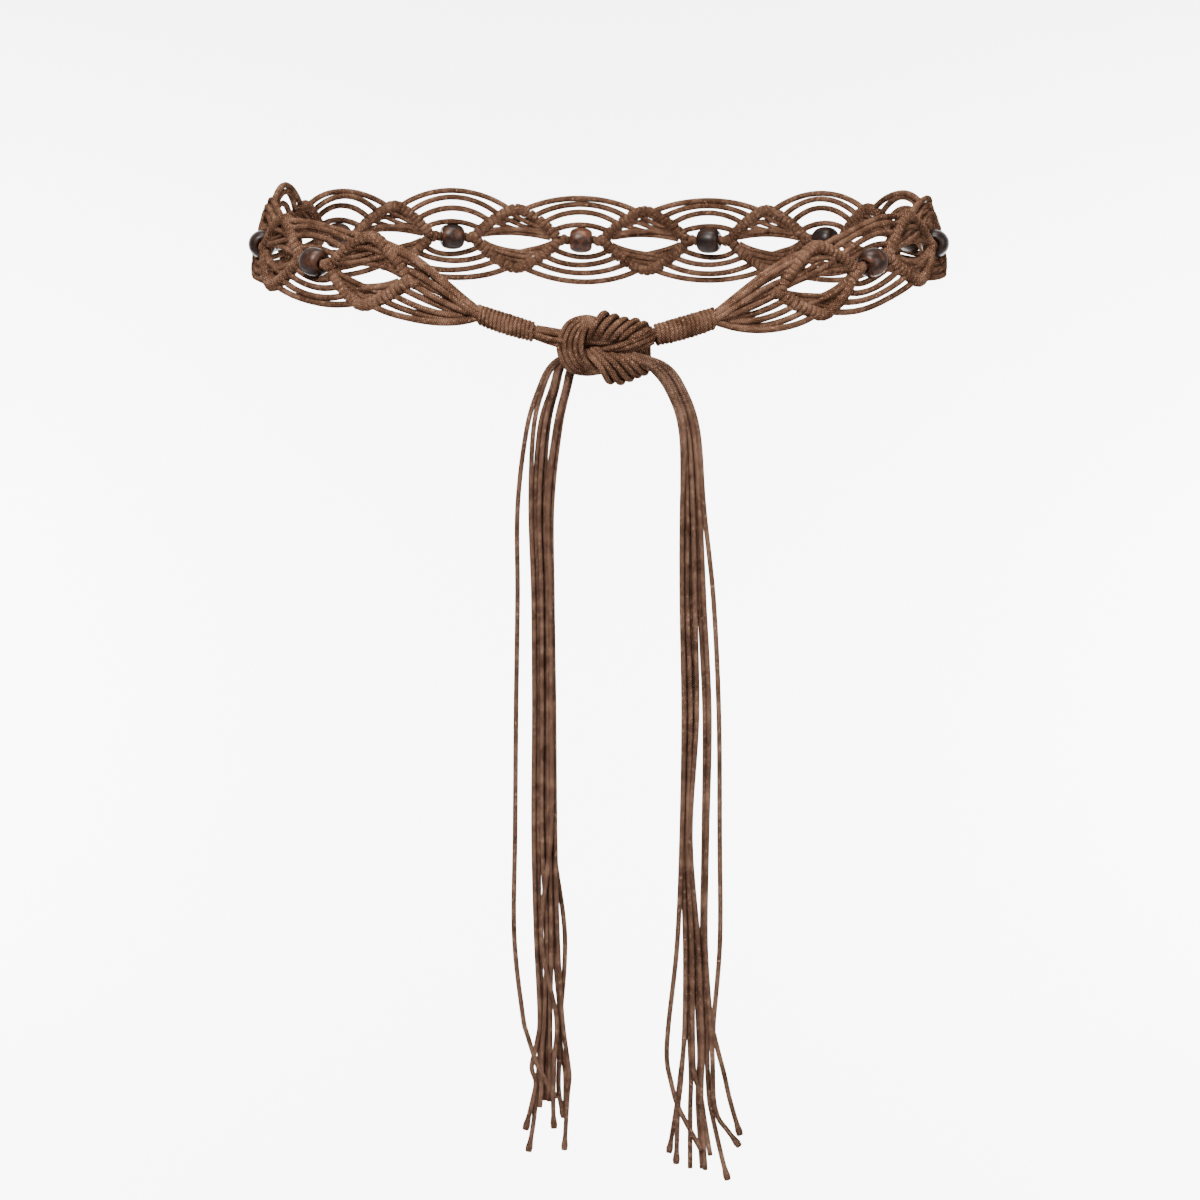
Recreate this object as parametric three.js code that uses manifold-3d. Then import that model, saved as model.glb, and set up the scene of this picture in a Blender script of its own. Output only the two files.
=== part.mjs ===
// Knotted cord belt: a worn loop of diamond motifs and wood beads, tied in front, with hanging tails.
// Millimetres, Z up. The origin is the middle of the waist. The front is toward -Y.
import * as THREE from 'three';
import { mergeVertices } from 'three/addons/utils/BufferGeometryUtils.js';
import Module from 'manifold-3d';

// Waist loop, from the middle of the waist out to each side
const waist_left = 118.9;
const waist_right = 127.6;
const waist_back = 110.2;
const waist_front = 103.4;
const back_rise = 3;
const front_drop = 39;
const lean_degrees = 12;

// Cord and knotted net
const cord_diameter = 1.9;
const bar_diameter = 4.6;
const diamond_count = 12;
const diamond_length = 37;
const diamond_height = 29.2;
const bar_bow = 1.2;
const bar_chamfer = 1;
const eye_height = 7;
const eye_length = 27.5;
const gap_length = 8;
const gap_height = 1.6;
const arc_rise = 17;
const arc_fall = 16.5;
const piece_gap = 0.3;

// Beads and the cords that carry them
const bead_diameter = 10;
const bead_length = 9;
const bead_face_diameter = 6.4;
const bead_belly_length = 3;
const core_diameter = 3.6;

// Front tie: distances run along the loop from its front middle
const wrap_diameter = 7;
const left_wrap_start = 17.5;
const left_wrap_length = 20;
const left_fan_length = 23.3;
const right_wrap_start = 22.5;
const right_wrap_length = 22;
const right_fan_length = 22.8;
const fan_height = 22;
const knot_width = 34;
const knot_height = 25;
const knot_depth = 17;
const knot_offset = 6;
const knot_sag = 1.4;

// Tails
const tail_drop = 283;
const tail_cord_diameter = 1.6;
const lock_thickness = 3.2;

// How square each quarter of the loop is: 2 is an ellipse, more is fuller
const fullness = { front_left: 2.1, front_right: 1.78, back_left: 2.62, back_right: 2.03 };

// How the belt's middle line falls from back to front
// loop: share of the way round from the front middle, to the left first; drop: share of front_drop
const drop_table = [
  { loop: 0, drop: 1.0 },
  { loop: 0.02, drop: 0.91 },
  { loop: 0.05, drop: 0.74 },
  { loop: 0.086, drop: 0.44 },
  { loop: 0.132, drop: 0.31 },
  { loop: 0.156, drop: 0.24 },
  { loop: 0.2, drop: 0.13 },
  { loop: 0.24, drop: 0.05 },
  { loop: 0.3, drop: 0.0 },
  { loop: 0.4, drop: -0.04 },
  { loop: 0.5, drop: 0.0 },
  { loop: 0.64, drop: 0.01 },
  { loop: 0.72, drop: 0.03 },
  { loop: 0.777, drop: 0.09 },
  { loop: 0.835, drop: 0.21 },
  { loop: 0.86, drop: 0.35 },
  { loop: 0.906, drop: 0.54 },
  { loop: 0.94, drop: 0.77 },
  { loop: 0.97, drop: 0.92 },
  { loop: 1.0, drop: 1.0 },
];

// Cords of a link, from the top edge down
// from: share of the bar from peak to tip where the cord leaves it
// rise: share of arc_rise (or of arc_fall when negative) at the middle of the link
// strands: cords lying side by side in this one
const arc_table = [
  { from: 0.12, rise: 0.93, strands: 2 },
  { from: 0.5, rise: 0.65, strands: 1 },
  { from: 0.78, rise: 0.4, strands: 1 },
  { from: 0.78, rise: -0.44, strands: 1 },
  { from: 0.55, rise: -0.62, strands: 1 },
  { from: 0.15, rise: -0.88, strands: 2 },
];

// Cords of a fan, from the top down
// from: share of the bar from peak to tip where the cord leaves it, below the middle when negative
// near, far: heights on the way to the wrap, and mouth: height in the wrap, in shares of fan_height
const fan_table = [
  { from: 0.2, near: 0.41, far: 0.23, mouth: 0.11 },
  { from: 0.62, near: 0.26, far: 0.13, mouth: 0.06 },
  { from: 0.98, near: 0, far: 0, mouth: 0 },
  { from: -0.62, near: -0.4, far: -0.22, mouth: -0.06 },
  { from: -0.2, near: -0.66, far: -0.38, mouth: -0.11 },
];

// Bands of the tie knot, through places in shares of the knot's width, depth and height
const lobe_table = [
  { x: 0.0, y: 0.3, z: 0.28 },
  { x: -0.16, y: 0.02, z: 0.33 },
  { x: -0.33, y: -0.26, z: 0.02 },
  { x: -0.22, y: -0.02, z: -0.33 },
  { x: -0.02, y: 0.3, z: -0.3 },
];
const upper_table = [
  { x: -0.12, y: -0.2, z: -0.02 },
  { x: 0.07, y: -0.38, z: 0.18 },
  { x: 0.24, y: -0.16, z: 0.33 },
  { x: 0.34, y: 0.25, z: 0.2 },
];
const lower_table = [
  { x: -0.12, y: -0.2, z: 0.02 },
  { x: 0.1, y: -0.36, z: -0.22 },
  { x: 0.24, y: -0.12, z: -0.36 },
  { x: 0.36, y: 0.25, z: -0.24 },
];

// Locks of the hanging tails, from the outside of the left tail to the outside of the right one
// start: place in the knot, in shares of its size
// sway: sideways places at fall_shares of the way down, in shares of tail_drop
// hang: how far down the end hangs, and end: its sideways place, in shares of tail_drop
// wide: width in cords
const fall_shares = [0.02, 0.05, 0.1, 0.19, 0.3, 0.44, 0.585, 0.71, 0.81];
const left_locks = [
  {
    start: [-0.3, 0.3, -0.12], hang: 0.905, end: -0.04, wide: 1,
    sway: [-0.045, -0.061, -0.075, -0.085, -0.085, -0.087, -0.088, -0.09, -0.078],
  },
  {
    start: [-0.28, 0.3, -0.14], hang: 0.97, end: -0.072, wide: 2,
    sway: [-0.039, -0.053, -0.063, -0.066, -0.064, -0.063, -0.064, -0.061, -0.058],
  },
  {
    start: [-0.26, 0.3, -0.17], hang: 0.91, end: -0.052, wide: 2,
    sway: [-0.032, -0.044, -0.051, -0.056, -0.054, -0.053, -0.053, -0.049, -0.051],
  },
  {
    start: [-0.24, 0.3, -0.2], hang: 0.95, end: -0.034, wide: 2,
    sway: [-0.021, -0.029, -0.037, -0.046, -0.045, -0.043, -0.043, -0.039, -0.036],
  },
];
const right_locks = [
  {
    start: [0.34, -0.36, -0.14], hang: 0.98, end: 0.108, wide: 2,
    sway: [0.073, 0.095, 0.114, 0.114, 0.114, 0.118, 0.114, 0.113, 0.112],
  },
  {
    start: [0.36, -0.36, -0.12], hang: 0.99, end: 0.138, wide: 2,
    sway: [0.078, 0.1, 0.12, 0.122, 0.122, 0.127, 0.121, 0.127, 0.131],
  },
  {
    start: [0.38, -0.36, -0.09], hang: 1.0, end: 0.166, wide: 2,
    sway: [0.084, 0.107, 0.126, 0.132, 0.136, 0.143, 0.141, 0.139, 0.147],
  },
  {
    start: [0.4, -0.36, -0.06], hang: 0.95, end: 0.182, wide: 1,
    sway: [0.089, 0.113, 0.132, 0.138, 0.15, 0.157, 0.158, 0.158, 0.151],
  },
];

const wasm = await Module();
wasm.setup();

// Waist plan: four quarter superellipses that meet at the front, the back and the sides
class WaistPlan extends THREE.Curve {
  getPoint(t, target = new THREE.Vector3()) {
    const angle = 2 * Math.PI * t;
    const side = Math.sin(angle);
    const facing = Math.cos(angle);
    const width = side > 0 ? waist_left : waist_right;
    const depth = facing > 0 ? waist_front : waist_back;
    const quarter = `${facing > 0 ? 'front' : 'back'}_${side > 0 ? 'left' : 'right'}`;
    const power = 2 / fullness[quarter];
    return target.set(
      -Math.sign(side) * Math.abs(side) ** power * width,
      -Math.sign(facing) * Math.abs(facing) ** power * depth,
      0,
    );
  }
}
const plan = new WaistPlan();
plan.arcLengthDivisions = 1200;
const loop_length = plan.getLength();

const lean = THREE.MathUtils.degToRad(lean_degrees);
const drop_line = new THREE.CatmullRomCurve3(
  drop_table.map((row) => new THREE.Vector3(row.loop, row.drop, 0)),
  false,
  'centripetal',
);
const drop_points = drop_line.getPoints(400);

function dropAt(share) {
  const next = drop_points.findIndex((p) => p.x >= share);
  if (next <= 0) return drop_points[0].y;
  const a = drop_points[next - 1];
  const b = drop_points[next];
  return a.y + ((b.y - a.y) * (share - a.x)) / (b.x - a.x);
}

// Belt place: s along the loop, v up the band, n out of it
function belt(s, v = 0, n = 0) {
  const share = THREE.MathUtils.euclideanModulo(s / loop_length, 1);
  const p = plan.getPointAt(share);
  const along = plan.getTangentAt(share);
  const out = new THREE.Vector3(-along.y, along.x, 0).multiplyScalar(-1);
  const reach = n - v * Math.sin(lean);
  const height = back_rise - front_drop * dropAt(share) + v * Math.cos(lean);
  return new THREE.Vector3(p.x + out.x * reach, p.y + out.y * reach, height);
}

// Curve given in belt places by a function of 0..1
class BeltCurve extends THREE.Curve {
  constructor(place) {
    super();
    this.place = place;
  }
  getPoint(t) {
    return belt(...this.place(t));
  }
}

function bezier(a, b, c, d) {
  return (t) => a.map((_, i) => {
    const r = 1 - t;
    return r * r * r * a[i] + 3 * r * r * t * b[i] + 3 * r * t * t * c[i] + t * t * t * d[i];
  });
}

// Curve through points whose sections keep one given width direction, with even steps between points
class FlatCurve extends THREE.CatmullRomCurve3 {
  constructor(points, across) {
    super(points);
    this.across = across;
  }
  getSpacedPoints(divisions) {
    return this.getPoints(divisions);
  }
  computeFrenetFrames(segments) {
    const frames = { tangents: [], normals: [], binormals: [] };
    for (let i = 0; i <= segments; i++) {
      const tangent = this.getTangent(i / segments);
      const binormal = new THREE.Vector3().crossVectors(tangent, this.across).normalize();
      frames.tangents.push(tangent);
      frames.binormals.push(binormal);
      frames.normals.push(new THREE.Vector3().crossVectors(binormal, tangent));
    }
    return frames;
  }
}

function oval(width, height, sides) {
  const points = [];
  for (let i = 0; i < sides; i++) {
    const angle = (2 * Math.PI * (i + 0.5)) / sides;
    points.push(new THREE.Vector2((width / 2) * Math.cos(angle), (height / 2) * Math.sin(angle)));
  }
  return new THREE.Shape(points);
}

function tube(curve, width, sides, steps, height = width) {
  return new THREE.ExtrudeGeometry(oval(width, height, sides), { extrudePath: curve, steps });
}

// Joining and cutting: nearly flat facets are merged within a small part of the cord's width
const joint_tolerance = cord_diameter / 25;

function solid(geometry) {
  const bare = geometry.clone();
  bare.deleteAttribute('normal');
  bare.deleteAttribute('uv');
  const merged = mergeVertices(bare, 1e-4);
  return new wasm.Manifold(new wasm.Mesh({
    numProp: 3,
    vertProperties: Float32Array.from(merged.attributes.position.array),
    triVerts: Uint32Array.from(merged.index.array),
  }));
}

function joined(geometries) {
  return geometries.map(solid).reduce((whole, next) => whole.add(next));
}

function geometryOf(manifold) {
  const mesh = manifold.getMesh();
  const geometry = new THREE.BufferGeometry();
  geometry.setAttribute('position', new THREE.BufferAttribute(mesh.vertProperties, 3));
  geometry.setIndex(new THREE.BufferAttribute(mesh.triVerts, 1));
  geometry.computeVertexNormals();
  return geometry;
}

// Stations of the diamonds: the links share what the diamonds and the front tie leave
const left_reach = left_wrap_start + left_wrap_length + left_fan_length;
const right_reach = right_wrap_start + right_wrap_length + right_fan_length;
const net_length = loop_length - left_reach - right_reach;
const link_length = (net_length - diamond_count * diamond_length) / (diamond_count - 1);
const pitch = diamond_length + link_length;
const half_length = diamond_length / 2 - bar_diameter / 3;
const half_height = (diamond_height - bar_diameter) / 2;

function diamondCentre(k) {
  return left_reach + diamond_length / 2 + k * pitch;
}

// Place on a bar's middle line; share runs from the peak (0) to the tip (1)
function barPlace(k, side, share, up) {
  const bow = bar_bow * 4 * share * (1 - share);
  return [
    diamondCentre(k) + side * (half_length * share + bow * 0.5),
    up * (half_height * (1 - share) + bow),
  ];
}

// Place on the diamond's middle line; turn runs once round from the right tip
function outlinePlace(k, turn) {
  const quarter = Math.floor(turn * 4) % 4;
  const part = turn * 4 - Math.floor(turn * 4);
  const side = quarter === 0 || quarter === 3 ? 1 : -1;
  const share = quarter % 2 === 0 ? 1 - part : part;
  return barPlace(k, side, share, quarter < 2 ? 1 : -1);
}

// Diamond: four hitched bars round a band of cords over and under an open eye
// reach: how far the outline lies outside the bars' middle line
function diamondOutline(reach) {
  const bar_parts = [0.04, 0.5, 0.96];
  const nearby_share = 0.005;
  const points = [];
  for (const side of [0, 1, 2, 3]) {
    for (const part of bar_parts) {
      const turn = (side + part) / 4;
      const [u, v] = outlinePlace(0, turn);
      const [u0, v0] = outlinePlace(0, (turn + 1 - nearby_share) % 1);
      const [u1, v1] = outlinePlace(0, (turn + nearby_share) % 1);
      const out = new THREE.Vector2(v1 - v0, u0 - u1).setLength(reach);
      points.push(new THREE.Vector2(u - diamondCentre(0) + out.x, v + out.y));
    }
  }
  return points;
}

function lens(length, height, middle, sides) {
  const points = [];
  for (let i = 0; i < sides; i++) {
    const angle = (2 * Math.PI * i) / sides;
    const lift = Math.sin(angle);
    points.push(new THREE.Vector2(
      (length / 2) * Math.cos(angle),
      middle + (height / 2) * lift * Math.sqrt(Math.abs(lift)),
    ));
  }
  return new THREE.Path(points);
}

function diamondPlate(k, grow = 0) {
  const gap_middle = (half_height + eye_height / 2) / 2;
  const shape = new THREE.Shape(diamondOutline(bar_diameter / 2 + grow - bar_chamfer));
  const wide = 2 * (bar_chamfer - grow);
  shape.holes.push(lens(eye_length + wide, eye_height + wide, 0, 8));
  for (const up of [1, -1]) {
    shape.holes.push(lens(gap_length + wide, gap_height + wide, up * gap_middle, 4));
  }
  const plate = new THREE.ExtrudeGeometry(shape, {
    depth: bar_diameter - 2 * bar_chamfer + 2 * grow,
    bevelThickness: bar_chamfer,
    bevelSize: bar_chamfer,
    bevelSegments: 1,
  });
  plate.translate(0, 0, bar_chamfer - bar_diameter / 2 - grow);
  const points = plate.attributes.position;
  for (let i = 0; i < points.count; i++) {
    const place = [diamondCentre(k) + points.getX(i), points.getY(i), points.getZ(i)];
    points.setXYZ(i, ...belt(...place).toArray());
  }
  return plate;
}

// Link: arcs of cord over and under a bead, and the cords that carry the bead

// Each arc starts inside its own diamond and stops short of the next one's bar
function linkCords(k) {
  const run_in_share = 0.3;
  const nearby_share = 0.1;
  const pair_width = 2.3 * cord_diameter;
  const cords = arc_table.map((row) => {
    const up = Math.sign(row.rise);
    const a = barPlace(k, 1, row.from, up);
    const d = barPlace(k + 1, -1, row.from, up);
    const peak = row.rise * (up > 0 ? arc_rise : arc_fall);
    const level = (8 * peak - a[1] - d[1]) / 6;
    const inset = run_in_share * (d[0] - a[0]);
    const width = row.strands > 1 ? pair_width : cord_diameter;
    const arrival = new THREE.Vector2(inset, d[1] - level).normalize();
    const above = barPlace(k + 1, -1, row.from - nearby_share, up);
    const below = barPlace(k + 1, -1, row.from + nearby_share, up);
    const bar = new THREE.Vector2(above[0] - below[0], above[1] - below[1]).normalize();
    const square = Math.abs(arrival.cross(bar));
    const slant = Math.abs(arrival.dot(bar));
    const stop = (bar_diameter / 2 + 2 * piece_gap + (slant * width) / 2) / square;
    const end = [d[0] - arrival.x * stop, d[1] - arrival.y * stop];
    const place = bezier(a, [a[0] + inset, level], [d[0] - inset, level], end);
    if (row.strands === 1) return tube(new BeltCurve(place), width, 5, 3);
    return tube(uprightCurve(new BeltCurve(place), 4), width, 6, 4, cord_diameter);
  });
  const from = diamondCentre(k) + half_length;
  const to = diamondCentre(k + 1) - half_length - bar_diameter / 2 - piece_gap;
  const core = new BeltCurve((t) => [from + (to - from) * t, 0]);
  cords.push(tube(core, core_diameter, 6, 3));
  return cords;
}

// The same curve with its sections kept upright
function uprightCurve(curve, steps) {
  return new FlatCurve(curve.getSpacedPoints(steps), new THREE.Vector3(0, 0, 1));
}

function diamondNet(k) {
  const cords = k < diamond_count - 1 ? linkCords(k) : [];
  return largest(joined([diamondPlate(k), ...cords]).simplify(joint_tolerance));
}

// Bead: a barrel with flat drilled ends
function beadGeometry() {
  const bore = core_diameter / 2 + piece_gap;
  const half = bead_length / 2;
  const belly = bead_belly_length / 2;
  const outer = bead_diameter / 2;
  const face = bead_face_diameter / 2;
  const profile = [
    [bore, -half], [face, -half], [outer, -belly],
    [outer, belly], [face, half], [bore, half], [bore, -half],
  ];
  return new THREE.LatheGeometry(profile.map(([x, y]) => new THREE.Vector2(x, y)), 10);
}

function placedBead(k) {
  const s = (diamondCentre(k) + diamondCentre(k + 1)) / 2;
  const axis = belt(s + 1).sub(belt(s - 1)).normalize();
  const turn = new THREE.Quaternion().setFromUnitVectors(new THREE.Vector3(0, 1, 0), axis);
  return { geometry: beadGeometry(), position: belt(s), turn };
}

// Fan: cords gathered from the end diamond's bars into a wrap
function fanGeometry(k, side, wrap_edge) {
  const near_share = 0.4;
  const far_share = 0.7;
  const fan_cord_width = 1.3 * cord_diameter;
  const mouth = wrap_edge - side * (piece_gap + fan_cord_width / 2);
  const collar_length = 6;
  const cords = fan_table.map((row) => {
    const from = barPlace(k, side, Math.abs(row.from), Math.sign(row.from));
    const run = mouth - from[0];
    const path = bezier(
      from,
      [from[0] + run * near_share, row.near * fan_height],
      [from[0] + run * far_share, row.far * fan_height],
      [mouth, row.mouth * fan_height],
    );
    return tube(new BeltCurve(path), fan_cord_width, 5, 4);
  });
  const collar = new BeltCurve((t) => [mouth - side * collar_length * (1 - t), 0]);
  cords.push(tube(collar, wrap_diameter - cord_diameter / 2, 8, 1));
  const clear = solid(diamondPlate(k, piece_gap));
  return geometryOf(largest(joined(cords).subtract(clear).simplify(joint_tolerance)));
}

// The main body of a cut solid, without its small offcuts and closed pockets
function largest(manifold) {
  return manifold.decompose().sort((a, b) => b.volume() - a.volume())[0];
}

// Wrap: a coil of cord round the gathered cords
function wrapGeometry(from, to, grow = 0) {
  const curve = new BeltCurve((t) => [from - grow / 2 + (to - from + grow) * t, 0]);
  return tube(curve, wrap_diameter + grow, 12, 4);
}

// Neck: the gathered cords that run from a wrap into the knot
function neckTube(from, grow) {
  const curve = new BeltCurve((t) => [from + (-knot_offset - from) * t, 0]);
  return tube(curve, wrap_diameter - cord_diameter + grow, 8, 2);
}

// Tie knot: a lobe on the left, and two groups of cord that cross out of it to the right
const knot_centre = belt(-knot_offset, -knot_sag);

function knotPoint(x, y, z) {
  return new THREE.Vector3(x * knot_width, y * knot_depth, z * knot_height).add(knot_centre);
}

function knotBand(table, across, width, thick) {
  const points = table.map((row) => knotPoint(row.x, row.y, row.z));
  const steps = 2 * (points.length - 1);
  return tube(new FlatCurve(points, across), width, 6, steps, thick);
}

function knotSolid(grow = 0) {
  const lobe_width = 0.48 * knot_height + grow;
  const band_width = 0.44 * knot_height + grow;
  const thick = 0.4 * knot_depth + grow;
  const lobe_across = new THREE.Vector3(1, 0.4, 0).normalize();
  const upper_across = new THREE.Vector3(-0.6, 0, 0.8);
  const lower_across = new THREE.Vector3(0.6, 0, 0.8);
  const heart_reach = [0.4 * knot_width, 0.42 * knot_depth, 0.38 * knot_height];
  const heart = new THREE.SphereGeometry(1, 10, 6);
  heart.scale(...heart_reach.map((reach) => reach + grow / 2));
  heart.translate(...knot_centre.toArray());
  const wraps = joined([
    wrapGeometry(left_wrap_start, left_wrap_start + left_wrap_length, 2 * piece_gap),
    wrapGeometry(-right_wrap_start - right_wrap_length, -right_wrap_start, 2 * piece_gap),
  ]);
  return largest(joined([
    knotBand(lobe_table, lobe_across, lobe_width, thick),
    knotBand(upper_table, upper_across, band_width, thick),
    knotBand(lower_table, lower_across, band_width, thick),
    heart,
    neckTube(left_wrap_start - piece_gap, grow),
    neckTube(-right_wrap_start + piece_gap, grow),
  ]).subtract(wraps).simplify(joint_tolerance));
}

// Tail: locks of cord that leave the knot and hang free
function tailGeometry(locks) {
  const lock_steps = fall_shares.length + 1;
  const strips = locks.map((lock) => {
    const start = knotPoint(...lock.start);
    const hung = (sway, fall) => new THREE.Vector3(
      sway * tail_drop, start.y, knot_centre.z - fall * tail_drop,
    );
    const points = [start, ...lock.sway.map((sway, i) => hung(sway, fall_shares[i]))];
    points.push(hung(lock.end, lock.hang));
    const width = (lock.wide + 0.2) * tail_cord_diameter;
    const thick = lock.wide > 1 ? lock_thickness : tail_cord_diameter;
    return tube(new FlatCurve(points, new THREE.Vector3(1, 0, 0)), width, 6, lock_steps, thick);
  });
  const clear = knotSolid(2 * piece_gap);
  return geometryOf(largest(joined(strips).subtract(clear).simplify(joint_tolerance)));
}

// Assembly
const belt_group = new THREE.Group();
const cord_material = { color: 0x6e4b37, roughness: 0.62, metalness: 0 };
const bead_material = { color: 0x3a1d14, roughness: 0.28, metalness: 0 };

function addPiece(name, geometry, finish) {
  const mesh = new THREE.Mesh(geometry, new THREE.MeshStandardMaterial(finish));
  mesh.name = name;
  belt_group.add(mesh);
  return mesh;
}

function numbered(name, k) {
  return `${name}_${String(k + 1).padStart(2, '0')}`;
}

for (let k = 0; k < diamond_count; k++) {
  addPiece(numbered('diamond', k), geometryOf(diamondNet(k)), cord_material);
}
for (let k = 0; k < diamond_count - 1; k++) {
  const bead = placedBead(k);
  const mesh = addPiece(numbered('bead', k), bead.geometry, bead_material);
  mesh.position.copy(bead.position);
  mesh.quaternion.copy(bead.turn);
}

const left_wrap_end = left_wrap_start + left_wrap_length;
const right_wrap_end = right_wrap_start + right_wrap_length;
addPiece('left_fan', fanGeometry(0, -1, left_wrap_end), cord_material);
addPiece('right_fan', fanGeometry(diamond_count - 1, 1, loop_length - right_wrap_end), cord_material);
addPiece('left_wrap', wrapGeometry(left_wrap_start, left_wrap_end), cord_material);
addPiece('right_wrap', wrapGeometry(-right_wrap_end, -right_wrap_start), cord_material);

addPiece('tie_knot', geometryOf(knotSolid()), cord_material);
addPiece('left_tail', tailGeometry(left_locks), cord_material);
addPiece('right_tail', tailGeometry(right_locks), cord_material);

export default belt_group;
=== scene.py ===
import math
import random

import bpy
import numpy as np
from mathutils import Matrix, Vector


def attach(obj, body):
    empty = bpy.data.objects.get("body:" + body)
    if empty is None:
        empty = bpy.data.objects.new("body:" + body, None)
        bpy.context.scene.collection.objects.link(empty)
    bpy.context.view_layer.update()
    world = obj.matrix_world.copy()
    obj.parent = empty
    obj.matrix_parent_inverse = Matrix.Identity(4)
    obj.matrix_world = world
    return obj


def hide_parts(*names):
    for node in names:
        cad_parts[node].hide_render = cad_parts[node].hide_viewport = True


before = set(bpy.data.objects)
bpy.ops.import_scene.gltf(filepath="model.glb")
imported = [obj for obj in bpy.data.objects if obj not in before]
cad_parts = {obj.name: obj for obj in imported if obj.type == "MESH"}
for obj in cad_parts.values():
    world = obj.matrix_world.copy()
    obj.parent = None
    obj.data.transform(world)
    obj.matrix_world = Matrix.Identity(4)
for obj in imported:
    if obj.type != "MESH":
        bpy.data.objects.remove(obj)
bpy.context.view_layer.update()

random.seed(7)
MM = 0.001

# Waist loop, in millimetres, as the solids have it
WAIST_LEFT, WAIST_RIGHT = 118.9, 127.6
WAIST_BACK, WAIST_FRONT = 110.2, 103.4
FULLNESS = {"front left": 2.1, "front right": 1.78, "back left": 2.62, "back right": 2.03}
BACK_RISE = 3
FRONT_DROP = 39
LEAN = math.radians(12)

# Cord, diamonds and links
CORD = 1.9
NET_CORD = 2.3
HITCH_STEP = 2.1
HITCH_WIDTH = 2.2
HITCH_DEPTH = 1.8
BAR = 4.6
DIAMONDS = 12
DIAMOND_LENGTH = 37
DIAMOND_HEIGHT = 29.2
BAR_BOW = 1.2
PEAK_DROP = 0.5
# Spacing of the points on a bar's middle line
ARCH_STEP = 0.2

# Crossed cords at a diamond's tips: how far out from the tip, radius and slant of each turn
TIP_TURNS = [(1.5, 2.4, 0.5), (3.1, 2.0, -0.5)]
TIP_TURN_WIDTH = 2.2

# Beads, and the two cords that twist through them
BEAD = 10
BEAD_LENGTH = 9
BEAD_BORE = 4.2
BEAD_CORD_SPREAD = 0.85
BEAD_CORD_DEPTH = 0.51
BEAD_CORD_TWIST = 0.16

# Front tie
LEFT_WRAP, LEFT_WRAP_LENGTH, LEFT_FAN = 17.5, 20, 23.3
RIGHT_WRAP, RIGHT_WRAP_LENGTH, RIGHT_FAN = 22.5, 22, 22.8
LEFT_WRAP_WIDTH, RIGHT_WRAP_WIDTH = 7.9, 8.6
WRAP_TURNS = 14
WRAP_TAPER = 0.1
BUNDLE_CORDS = 10
BUNDLE_OUTER_CORDS = 7
BUNDLE_RADIUS = 1.75
NECK_RADIUS = 1.9
KNOT_OFFSET, KNOT_SAG = 6, 1.4
TAIL_CORD = 1.75
KNOT_CORD = 2.15

# How the belt's middle line falls: share of the way round, share of FRONT_DROP
DROP = [
    (0.0, 1.0), (0.02, 0.91), (0.05, 0.74), (0.086, 0.44), (0.132, 0.31), (0.156, 0.24), (0.2, 0.13),
    (0.24, 0.05), (0.3, 0.0), (0.4, -0.04), (0.5, 0.0), (0.64, 0.01), (0.72, 0.03), (0.777, 0.09),
    (0.835, 0.21), (0.86, 0.35), (0.906, 0.54), (0.94, 0.77), (0.97, 0.92), (1.0, 1.0),
]

# Cords of a link: share of the bar from peak to tip, height at the link's middle, how far out it lies
ARCS = [
    (0.12, 17.0, 0.3), (0.36, 14.9, -0.2), (0.58, 11.3, 0.3), (0.8, 6.0, 1.6),
    (0.8, -6.9, 1.8), (0.6, -9.9, 0.2), (0.38, -13.2, -0.3), (0.12, -16.4, 0.3),
]
# How loose each link's upper and lower arcs are, from the left wrap round
SLACK = [
    (0.78, 0.86), (0.95, 0.7), (1.15, 0.75), (1.05, 0.95), (1.05, 1.0), (1.0, 1.0),
    (0.95, 1.0), (1.1, 1.0), (1.05, 0.8), (0.95, 0.72), (0.8, 0.88),
]
# Links that the photo shows from outside the belt; the arcs pass behind the beads as the photo sees them
FRONT_LINKS = (0, 1, 9, 10)

# Cords inside a diamond, as curves through four places (along, up) from its middle
INNER = [
    [(-13.6, 0.9), (-7.5, 2.2), (0.0, 3.4), (13.6, 0.7)],
    [(-12.2, 2.6), (-5.0, 4.2), (1.0, 4.4), (11.5, 2.4)],
    [(-8.6, 6.0), (-2.4, 4.4), (3.6, 2.2), (13.0, 1.5)],
    [(-5.4, 8.2), (-0.5, 6.2), (5.0, 3.8), (12.0, 3.2)],
    [(-2.6, 10.0), (2.4, 7.6), (6.0, 5.6), (10.6, 4.8)],
    [(-8.0, 6.0), (-3.0, 8.0), (2.0, 8.2), (7.6, 7.0)],
    [(-13.2, -1.3), (-8.4, -4.2), (-2.0, -5.4), (6.4, -5.8)],
    [(-10.8, -4.0), (-6.0, -6.2), (0.0, -7.2), (5.0, -7.8)],
    [(-6.4, -7.0), (0.0, -5.2), (7.6, -4.4), (13.4, -1.3)],
    [(-2.6, -10.2), (2.0, -8.4), (7.0, -4.6), (11.4, -4.4)],
    [(-8.4, -6.6), (-3.0, -8.4), (1.0, -9.4), (4.6, -9.0)],
    [(-12.6, -2.6), (-8.0, -5.0), (-1.0, -6.4), (5.6, -7.2)],
    [(-8.0, -6.4), (0.5, -6.4), (6.4, -3.2), (12.8, -2.8)],
    [(-13.0, 1.8), (-6.5, 3.4), (0.0, 4.2), (10.5, 3.8)],
]
# How far out of the band they lie, in turn
INNER_DEPTH = [0.0, -0.8, 0.8]

# Points along a link's or fan's arc, a cord inside a diamond and a cord through a bead
ARC_STEPS = 26
INNER_STEPS = 16
BEAD_CORD_STEPS = 12

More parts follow.
